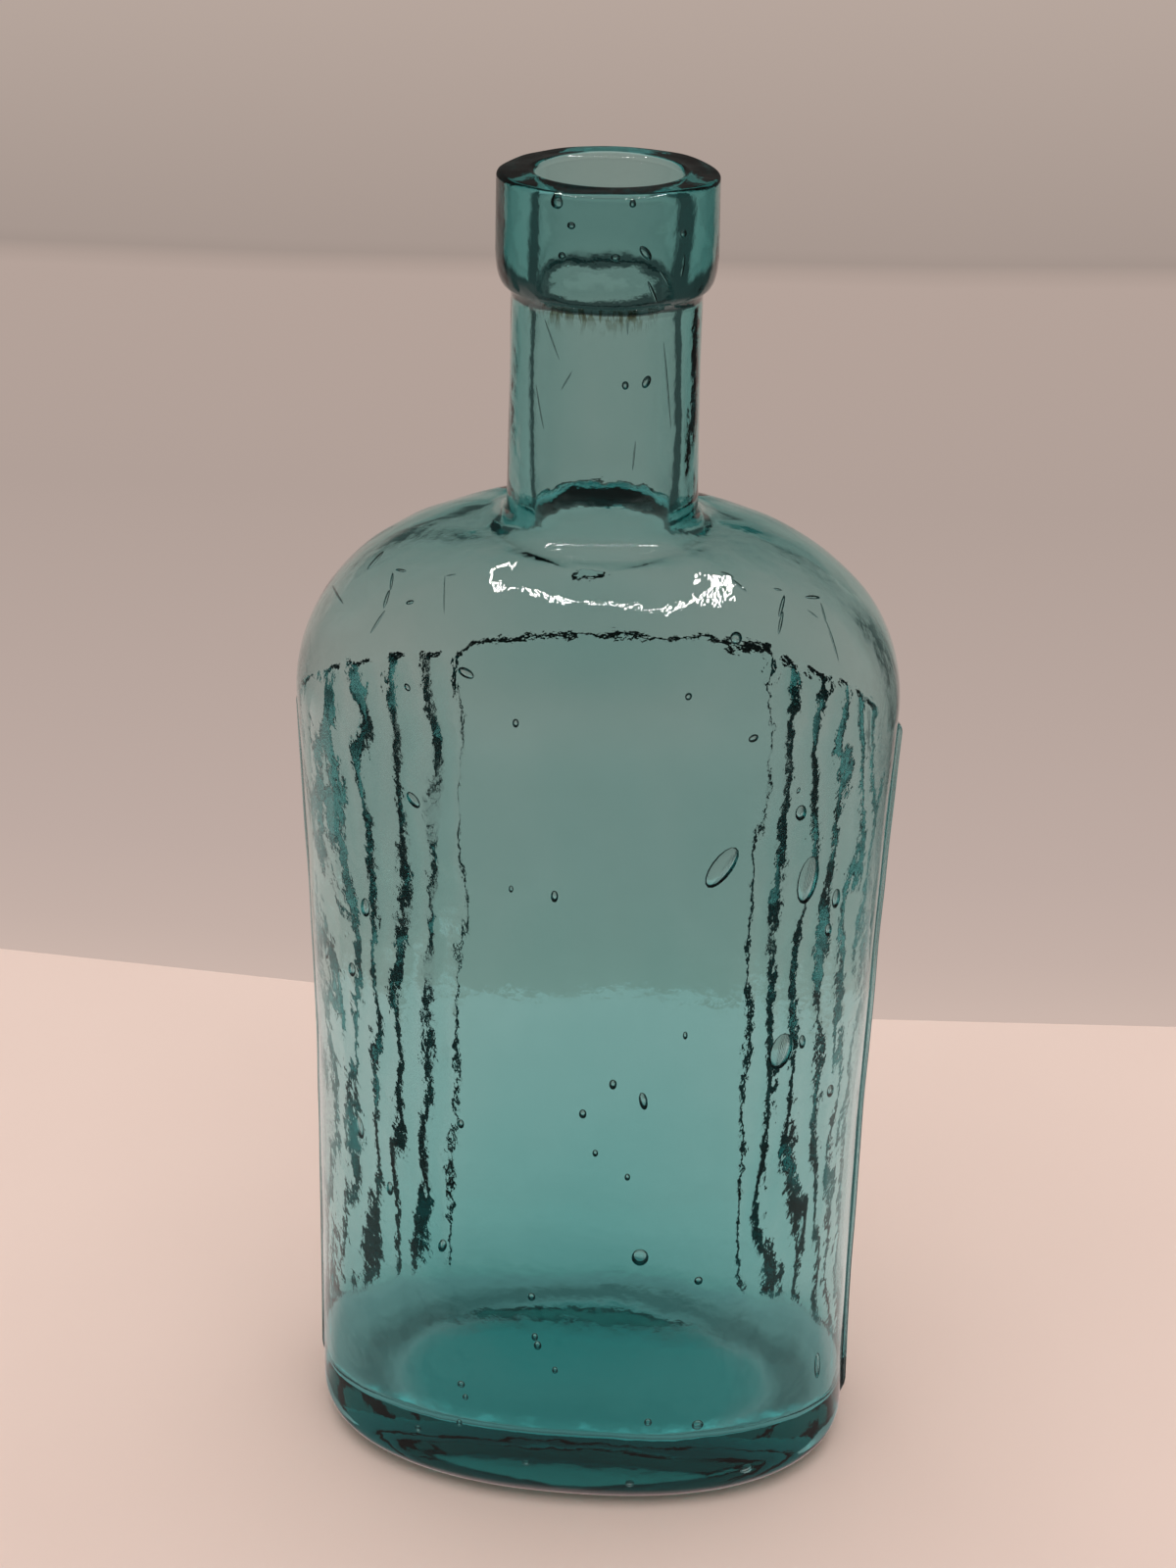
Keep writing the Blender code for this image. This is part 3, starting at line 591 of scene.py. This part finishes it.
def front_at(rows, x, z):
    """The y of a form's front at x and z: the superellipse of that height, solved for y."""
    half_width, half_depth, power, height = rows
    a, b, p = (np.interp(z, height, values) for values in (half_width, half_depth, power))
    return -b * (1 - np.clip(np.abs(x) / a, 0.0, 0.999) ** p) ** (1 / p)


def unit(*parts):
    """Vectors of length 1 along the given parts, one row each."""
    whole = np.stack(np.broadcast_arrays(*parts), axis=1)
    return whole / np.linalg.norm(whole, axis=1, keepdims=True)


def bubble_shells(columns=12, rulings=8):
    """Bubbles and cords as inside-out ellipsoids in the front wall: one sphere's grid, with its width along the level
    tangent, its length along the other one, both turned by the lean, and its depth along the inward normal. None
    reaches a face of the wall."""
    table = np.array(BUBBLES)
    x, z, width, length = table[:, :4].T * MM
    lean = np.radians(table[:, 4])[:, None]
    outside = outside_rows()[:4, 12:]
    inside = inside_rows()[:, ::-1]
    step = 0.1 * MM
    slope_x = (front_at(outside, x + step, z) - front_at(outside, x - step, z)) / (2 * step)
    slope_z = (front_at(outside, x, z + step) - front_at(outside, x, z - step)) / (2 * step)
    inward = unit(-slope_x, 1.0, -slope_z)
    level = unit(1.0, slope_x, 0.0)
    upright = np.cross(level, inward)
    y = front_at(outside, x, z)
    wall = np.clip((front_at(inside, x, z) - y) * inward[:, 1], 1.0 * MM, 5.0 * MM)
    deep = np.minimum(wall * 0.5, BUBBLE_DEPTH)
    half_depth = np.minimum(np.minimum(width / 2, BUBBLE_HALF_THICKNESS), wall * 0.3)
    centre = np.stack([x, y, z], axis=1) + inward * deep[:, None]
    axes = np.stack([
        (level * np.cos(lean) - upright * np.sin(lean)) * width[:, None] / 2, inward * half_depth[:, None],
        (upright * np.cos(lean) + level * np.sin(lean)) * length[:, None] / 2], axis=1)
    around = np.linspace(0.0, TURN, columns, endpoint=False)
    down = np.linspace(0.0, math.pi, rulings + 1)[1:-1, None]
    ball = np.stack([
        np.sin(down) * np.cos(around), np.sin(down) * np.sin(around), np.cos(down) * np.ones(columns)], axis=2)
    ball = np.concatenate([ball.reshape(-1, 3), [[0, 0, 1.0], [0, 0, -1.0]]])
    points = (centre[:, None] + ball @ axes).reshape(-1, 3)
    index = np.arange((rulings - 1) * columns).reshape(rulings - 1, columns)
    after = np.roll(index, -1, axis=1)
    four = np.stack([index[:-1], after[:-1], after[1:], index[1:]], axis=2).reshape(-1, 4)
    three = np.concatenate([
        np.stack([index[0], after[0], np.full(columns, len(ball) - 2)], axis=1)[:, ::-1],
        np.stack([after[-1], index[-1], np.full(columns, len(ball) - 1)], axis=1)[:, ::-1]])
    first = (np.arange(len(x)) * len(ball))[:, None, None]
    return points, (four + first).reshape(-1, 4), (three + first).reshape(-1, 3)


def mesh_piece(name, points, faces, material, smooth_faces=True):
    """An object at the origin from points and groups of faces with the same number of corners."""
    mesh = bpy.data.meshes.new(name)
    corners = np.concatenate([group.ravel() for group in faces])
    counts = np.concatenate([np.full(len(group), group.shape[1]) for group in faces])
    mesh.vertices.add(len(points))
    mesh.vertices.foreach_set("co", np.asarray(points, np.float32).ravel())
    mesh.loops.add(len(corners))
    mesh.loops.foreach_set("vertex_index", corners.astype(np.int32))
    mesh.polygons.add(len(counts))
    mesh.polygons.foreach_set("loop_start", np.concatenate([[0], np.cumsum(counts)[:-1]]).astype(np.int32))
    mesh.update(calc_edges=True)
    mesh.validate()
    mesh.polygons.foreach_set("use_smooth", np.full(len(mesh.polygons), smooth_faces))
    mesh.materials.append(material)
    made = bpy.data.objects.new(name, mesh)
    bpy.context.scene.collection.objects.link(made)
    return made


# ---------------------------------------------------------------- materials

class Value:
    """A socket that takes part in arithmetic: each operator adds one Math node."""

    def __init__(self, sheet, socket):
        self.sheet, self.socket = sheet, socket

    def _with(self, operation, *others):
        return self.sheet.math(operation, *others)

    def __add__(self, other):
        return self._with("ADD", self, other)

    def __sub__(self, other):
        return self._with("SUBTRACT", self, other)

    def __mul__(self, other):
        return self._with("MULTIPLY", self, other)

    def __rsub__(self, other):
        return self._with("SUBTRACT", other, self)

    def __pow__(self, other):
        return self._with("POWER", self, other)

    __radd__ = __add__
    __rmul__ = __mul__


class Sheet:
    """A node tree being written: node() adds one node of a type, with its settings first and then its sockets' values
    or links. The others name the nodes that come again and again."""

    def __init__(self, tree):
        self.tree = tree
        tree.nodes.clear()

    def node(self, kind, settings=None, *values, out=None, **named):
        made = self.tree.nodes.new(kind)
        for key, value in (settings or {}).items():
            if key == "stops":
                ramp = made.color_ramp
                while len(ramp.elements) < len(value):
                    ramp.elements.new(0.5)
                for element, (place, colour) in zip(ramp.elements, value):
                    element.position, element.color = place, (*colour, 1.0)
            else:
                setattr(made, key, value)
        pairs = list(enumerate(values)) + [(key.replace("_", " "), value) for key, value in named.items()]
        for key, value in pairs:
            named_alike = [s for s in made.inputs if s.name == key and s.enabled]
            socket = made.inputs[key] if isinstance(key, int) else named_alike[0]
            if isinstance(value, Value):
                self.tree.links.new(value.socket, socket)
            elif value is not None:
                socket.default_value = value
        shown = [s for s in made.outputs if s.enabled and (out is None or s.name == out)]
        return Value(self, shown[0]) if shown else None

    def math(self, operation, *values):
        return self.node("ShaderNodeMath", dict(operation=operation), *values)

    def eased(self, value, start, end):
        """0 at start and 1 at end, with an S curve between them. The start may be the higher one."""
        return self.node(
            "ShaderNodeMapRange", dict(interpolation_type="SMOOTHSTEP"), Value=value, From_Min=start, From_Max=end)

    def mixed(self, share, plain, other):
        """The plain colour where share is 0, and the other one where it is 1."""
        return self.node("ShaderNodeMix", dict(data_type="RGBA"), Factor=share, A=plain, B=other, out="Result")

    def along_axes(self, place):
        """The x, y and z of a place."""
        parts = self.tree.nodes.new("ShaderNodeSeparateXYZ")
        self.tree.links.new(place.socket, parts.inputs[0])
        return [Value(self, parts.outputs[axis]) for axis in "XYZ"]


def new_material(name):
    """A material and the sheet on which its nodes are written."""
    material = bpy.data.materials.new(name)
    material.use_nodes = True
    return material, Sheet(material.node_tree)


def linear(red, green, blue):
    """A colour written as 8-bit sRGB, in linear light, with alpha 1."""
    parts = (red / 255, green / 255, blue / 255)
    return tuple(c / 12.92 if c <= 0.04045 else ((c + 0.055) / 1.055) ** 2.4 for c in parts) + (1.0,)


def aqua_glass():
    """Clear glass that tints with its thickness. The mould's grain, the orange peel and the drawn streaks of the neck
    are bump, and old wear clouds it a little. Brown flecks of a deposit cling to the front of the neck, under the
    lip."""
    material, sheet = new_material("aqua_glass")
    place = sheet.node("ShaderNodeTexCoord", out="Object")
    x, y, z = sheet.along_axes(place)
    grain = sheet.node("ShaderNodeAttribute", dict(attribute_name="grain"), out="Fac")
    peel = sheet.node("ShaderNodeAttribute", dict(attribute_name="peel"), out="Fac")
    pits = sheet.node("ShaderNodeTexNoise", None, Vector=place, Scale=1100.0, Detail=2.0, Roughness=0.5)
    dimples = sheet.node("ShaderNodeTexNoise", None, Vector=place, Scale=620.0, Detail=0.0)
    stretched = sheet.node("ShaderNodeMapping", None, Vector=place, Scale=(1.0, 1.0, 0.22))
    streaks = sheet.node("ShaderNodeTexNoise", None, Vector=stretched, Scale=420.0, Detail=1.0, Roughness=0.5)
    relief = pits * (grain * 0.7 + peel * 0.16) + dimples * peel * 0.4 + streaks * 0.2
    bumped = sheet.node("ShaderNodeBump", None, Strength=1.0, Distance=0.1 * MM, Height=relief)

    worn = sheet.node("ShaderNodeTexNoise", None, Vector=place, Scale=130.0, Detail=4.0, Roughness=0.6)
    wear = [(0.35, (1.0, 1.0, 1.0)), (0.75, (0.955, 0.97, 0.965))]
    tint = sheet.node("ShaderNodeValToRGB", dict(stops=wear), Fac=worn)
    under_lip = sheet.eased(z, 161.5 * MM, 164.5 * MM) * sheet.math("LESS_THAN", z, LIP_BOTTOM + 0.2 * MM)
    ahead = sheet.eased(sheet.math("ABSOLUTE", x + 1.5 * MM), 9 * MM, 6 * MM) * sheet.math("LESS_THAN", y, -5 * MM)
    flecks = sheet.node("ShaderNodeTexNoise", None, Vector=stretched, Scale=1300.0, Detail=2.0, Roughness=0.6)
    tint = sheet.mixed(under_lip * ahead * sheet.eased(flecks, 0.48, 0.6), tint, DEPOSIT_COLOUR)

    glass = sheet.node(
        "ShaderNodeBsdfPrincipled", None, Base_Color=tint, Roughness=grain * 0.12, IOR=1.5,
        Transmission_Weight=1.0, Normal=bumped)
    soak = sheet.node("ShaderNodeVolumeAbsorption", None, Color=GLASS_COLOUR, Density=GLASS_DENSITY)
    sheet.node("ShaderNodeOutputMaterial", None, Surface=glass, Volume=soak)
    return material


# ---------------------------------------------------------------- stage

def ray_facts(sheet):
    """What kind of ray asks for the colour: one value for each name of the node's outputs."""
    rays = sheet.tree.nodes.new("ShaderNodeLightPath")
    return {shown.name: Value(sheet, shown) for shown in rays.outputs}


def straight_from_camera(sheet, rays):
    """1 for what the camera sees in or through the glass, and 0 for the light that falls on the paper."""
    shown = sheet.math("MAXIMUM", rays["Is Glossy Ray"], rays["Is Transmission Ray"])
    return shown * (1 - sheet.math("GREATER_THAN", rays["Diffuse Depth"], 0.5))


def turned_back(sheet, rays):
    """1 for what the glass shows by reflection inside its walls, and 0 for what is seen straight through it."""
    return sheet.math("MINIMUM", rays["Glossy Depth"], 1.0)


def past_sides(sheet, x, low, high):
    """0 in the middle and 1 past the lit part, which ends sooner on the right and twice as far out on the left."""
    return sheet.eased(sheet.math("MAXIMUM", x, x * -0.5), low, high)


def card_material():
    """The card behind: its tone by height is painted light and shade, lighter towards its foot, with a painted line of
    shade at its fold and darker above it, and it is seen from its front only. The glass shows it with painted shade, as
    if unlit, above the fold and far to both sides."""
    material, sheet = new_material("grey_card")
    x, _, z = sheet.along_axes(sheet.node("ShaderNodeTexCoord", out="Object"))
    rays = ray_facts(sheet)
    # painted light and shade on the grey card, by height: lighter near the paper, a painted shade line at the fold,
    # darker above it
    painted_tones = [
        (0.0, (203, 182, 172)), (0.012, (196, 176, 167)), (0.03, (190, 171, 163)), (0.10, (177, 160, 152)),
        (0.1385, (181, 163, 154)), (0.1392, (150, 136, 128)), (0.141, (166, 151, 143)), (0.20, (190, 173, 163)),
        (0.5, (196, 180, 170))]
    stops = [(height / CARD_HEIGHT, linear(*tone)[:3]) for height, tone in painted_tones]
    tone = sheet.node("ShaderNodeValToRGB", dict(stops=stops), Fac=(z + x * -0.02) * (1 / CARD_HEIGHT))
    unlit = sheet.math("MAXIMUM", past_sides(sheet, x, *CARD_DIM_ASIDE), sheet.eased(z, *CARD_DIM_ABOVE))
    tone = sheet.mixed(unlit * (1 - rays["Is Camera Ray"]), tone, CARD_DIM)

    # the card glows with its painted tone for the camera and the glass, so the lamps do not light what they see of it
    glow = sheet.node("ShaderNodeEmission", None, Color=tone, Strength=1.0)
    matt = sheet.node("ShaderNodeBsdfDiffuse", None, Color=linear(178, 160, 152))
    shown = sheet.math("MAXIMUM", rays["Is Camera Ray"], rays["Is Glossy Ray"])
    shown = sheet.math("MAXIMUM", shown, rays["Is Transmission Ray"])
    front = sheet.node("ShaderNodeMixShader", None, shown, matt, glow)
    facing = sheet.tree.nodes.new("ShaderNodeNewGeometry")
    clear = sheet.node("ShaderNodeBsdfTransparent", None)
    both = sheet.node("ShaderNodeMixShader", None, Value(sheet, facing.outputs["Backfacing"]), front, clear)
    sheet.node("ShaderNodeOutputMaterial", None, Surface=both)
    return material


def paper_material():
    """The white paper underneath: matt, with a very slight unevenness. The glass shows it as a painted tone by place
    instead: a dim green painted shadow under the bottle, a painted pool of light where the floor gathers the light in a
    broken curve, and painted shade, as if unlit, in front of it and far to both sides."""
    material, sheet = new_material("white_paper")
    place = sheet.node("ShaderNodeTexCoord", out="Object")
    x, y = sheet.along_axes(place)[:2]
    rays = ray_facts(sheet)
    cloud = sheet.node("ShaderNodeTexNoise", None, Vector=place, Scale=9.0, Detail=3.0)
    whites = [(0.3, linear(224, 206, 198)[:3]), (0.7, linear(229, 211, 203)[:3])]
    tone = sheet.node("ShaderNodeValToRGB", dict(stops=whites), Fac=cloud)
    matt = sheet.node("ShaderNodeBsdfDiffuse", None, Color=tone)

    # painted shadow and light under the bottle, from the middle of the foot outwards: 1 / 3 is the foot's edge
    painted_tones = [
        (0.0, (0.14, 0.31, 0.29)), (0.10, (0.17, 0.33, 0.31)), (0.125, (0.34, 0.35, 0.33)),
        (0.14, (0.62, 0.40, 0.38)), (0.165, (0.30, 0.22, 0.21)), (0.19, (0.30, 0.22, 0.21)),
        (0.24, (0.58, 0.38, 0.36)), (0.33, (0.64, 0.44, 0.42)), (0.40, (0.60, 0.50, 0.46)),
        (0.7, (0.68, 0.565, 0.525)), (1.0, (0.73, 0.60, 0.555))]
    out = (x * (1 / HALF_WIDTH)) ** 2 + (y * (1 / HALF_DEPTH)) ** 2
    under = sheet.node("ShaderNodeValToRGB", dict(stops=painted_tones), Fac=out * (1 / 3))
    # a painted pool of light along a broken curve under the front of the bottle
    caustic_curve = sheet.eased(sheet.math("ABSOLUTE", y + 10.5 * MM - x * x * 6.0), 3.5 * MM, 0.0)
    broken = sheet.node("ShaderNodeTexNoise", None, Vector=place, Scale=210.0, Detail=3.0, Roughness=0.6)
    painted_caustic = caustic_curve * (0.15 + sheet.eased(broken, 0.45, 0.72) * 0.85)
    under = sheet.mixed(painted_caustic, under, (0.55, 0.80, 0.77, 1.0))

    # painted shade on the paper in front of the bottle, as the glass shows it
    before = sheet.eased(y, 4 * MM, -6 * MM) * sheet.eased(out, 0.98, 1.12)
    before = before * (0.7 + sheet.eased(y, -45 * MM, -60 * MM) * 0.3)
    unlit = sheet.math("MAXIMUM", past_sides(sheet, x, *PAPER_DIM_ASIDE), before) * turned_back(sheet, rays)
    shown = sheet.mixed(unlit, under, PAPER_DIM)
    # the glass sees the paper as a glow of this painted tone, not as paper lit by the lamps
    glow = sheet.node("ShaderNodeEmission", None, Color=shown, Strength=1.0)
    both = sheet.node("ShaderNodeMixShader", None, straight_from_camera(sheet, rays), matt, glow)
    sheet.node("ShaderNodeOutputMaterial", None, Surface=both)
    return material


def lamp_material(strength):
    """An even warm white glow."""
    material, sheet = new_material("lamp_ring")
    glow = sheet.node("ShaderNodeEmission", None, Color=(1.0, 0.97, 0.94, 1.0), Strength=strength)
    sheet.node("ShaderNodeOutputMaterial", None, Surface=glow)
    return material


def band(name, outline, height, width, material):
    """A level band of the given width that follows a closed outline: each corner pushed in and out along the mean of
    its two sides' normals."""
    ahead = np.roll(outline, -1, axis=0) - np.roll(outline, 1, axis=0)
    across = np.stack([ahead[:, 1], -ahead[:, 0]], axis=1)
    across /= np.linalg.norm(across, axis=1, keepdims=True)
    edges = np.concatenate([outline + across * width / 2, outline - across * width / 2])
    points = np.concatenate([edges, np.full((len(edges), 1), height)], axis=1)
    index = np.arange(len(outline))
    after = np.roll(index, -1)
    faces = np.stack([index, after, after + len(index), index + len(index)], axis=1)
    return mesh_piece(name, points, [faces], material, False)


def lay_stage():
    """The paper, the card that stands on its far edge, and a narrow ring of light overhead that only gloss shows."""
    reach = 2.5
    corners = [[-reach, -reach, 0], [reach, -reach, 0], [reach, reach, 0], [-reach, reach, 0]]
    paper = mesh_piece("paper", corners, [np.array([[0, 1, 2, 3]])], paper_material(), False)
    across = np.array([-700.0, -122.6, -91.2, -59.4, -8.3, 44.8, 73.8, 101.0, 700.0]) * MM
    foot = np.array([113.0, 111.7, 109.2, 106.6, 106.7, 106.1, 108.1, 110.0, 112.0]) * MM
    count = len(across)
    low = np.stack([across, foot, np.zeros(count)], axis=1)
    high = np.stack([across, foot, np.full(count, CARD_HEIGHT)], axis=1)
    index = np.arange(count - 1)
    faces = np.stack([index, index + 1, index + 1 + count, index + count], axis=1)
    card = mesh_piece("card", np.concatenate([low, high]), [faces], card_material(), False)
    card.visible_shadow = False
    card.visible_diffuse = False
    outline = np.array([
        (-0.158, 0.306), (-0.241, 0.127), (-0.282, 0.05), (-0.314, -0.086), (-0.312, -0.258), (-0.265, -0.281),
        (-0.207, -0.417), (-0.18, -0.562), (-0.069, -0.593), (0.028, -0.559), (0.119, -0.543), (0.205, -0.571),
        (0.266, -0.386), (0.34, -0.25), (0.326, -0.071), (0.293, 0.093), (0.25, 0.216), (0.198, 0.35),
        (0.151, 0.435)])
    ring = band("lamp_ring", outline, RING_HEIGHT, RING_WIDTH, lamp_material(RING_STRENGTH))
    ring.visible_camera = False
    ring.visible_diffuse = False
    ring.visible_transmission = False
    ring.visible_shadow = False


def set_light():
    """A pale room seen by the camera, darker overhead, aside and behind the camera for what the walls of the glass
    reflect, and one large soft lamp above."""
    world = bpy.data.worlds.new("studio")
    bpy.context.scene.world = world
    world.use_nodes = True
    sheet = Sheet(world.node_tree)
    rays = ray_facts(sheet)
    x, y, z = sheet.along_axes(sheet.node("ShaderNodeTexCoord", out="Generated"))
    pale = linear(196, 180, 170)
    unlit = sheet.math("MAXIMUM", past_sides(sheet, x, *ROOM_DIM_ASIDE), sheet.eased(z, *ROOM_DIM_ABOVE))
    unlit = sheet.math("MAXIMUM", unlit, sheet.eased(y, *ROOM_DIM_BEHIND))
    unlit = unlit * straight_from_camera(sheet, rays) * turned_back(sheet, rays)
    room = sheet.mixed(unlit, pale, ROOM_DIM)
    seen = sheet.node("ShaderNodeBackground", None, Color=pale, Strength=1.0)
    shown = sheet.node("ShaderNodeBackground", None, Color=room, Strength=1.0)
    whole = sheet.node("ShaderNodeMixShader", None, rays["Is Camera Ray"], shown, seen)
    sheet.node("ShaderNodeOutputWorld", None, Surface=whole)

    lamp = bpy.data.lights.new("overhead", "AREA")
    lamp.shape = "RECTANGLE"
    lamp.size, lamp.size_y = LAMP_SIZE, LAMP_SIZE
    lamp.energy = LAMP_WATTS
    hung = bpy.data.objects.new("overhead", lamp)
    hung.location = LAMP_PLACE
    hung.visible_glossy = False
    hung.visible_transmission = False
    bpy.context.scene.collection.objects.link(hung)


# ---------------------------------------------------------------- the bottle

aim_camera()
lay_stage()
set_light()
bpy.context.scene.view_settings.view_transform = "Standard"
bpy.context.scene.cycles.use_denoising = True
bpy.context.scene.cycles.max_bounces = BOUNCES
bpy.context.scene.cycles.transmission_bounces = BOUNCES
bpy.context.scene.cycles.glossy_bounces = BOUNCES

points, faces, skin = bottle_mesh()
bottle = mesh_piece("bottle_glass", points, faces, aqua_glass())
for name, amount in skin.items():
    bottle.data.attributes.new(name, "FLOAT", "POINT").data.foreach_set("value", amount.astype(np.float32))
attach(bottle, "root")
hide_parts("glass_body", "applied_lip")
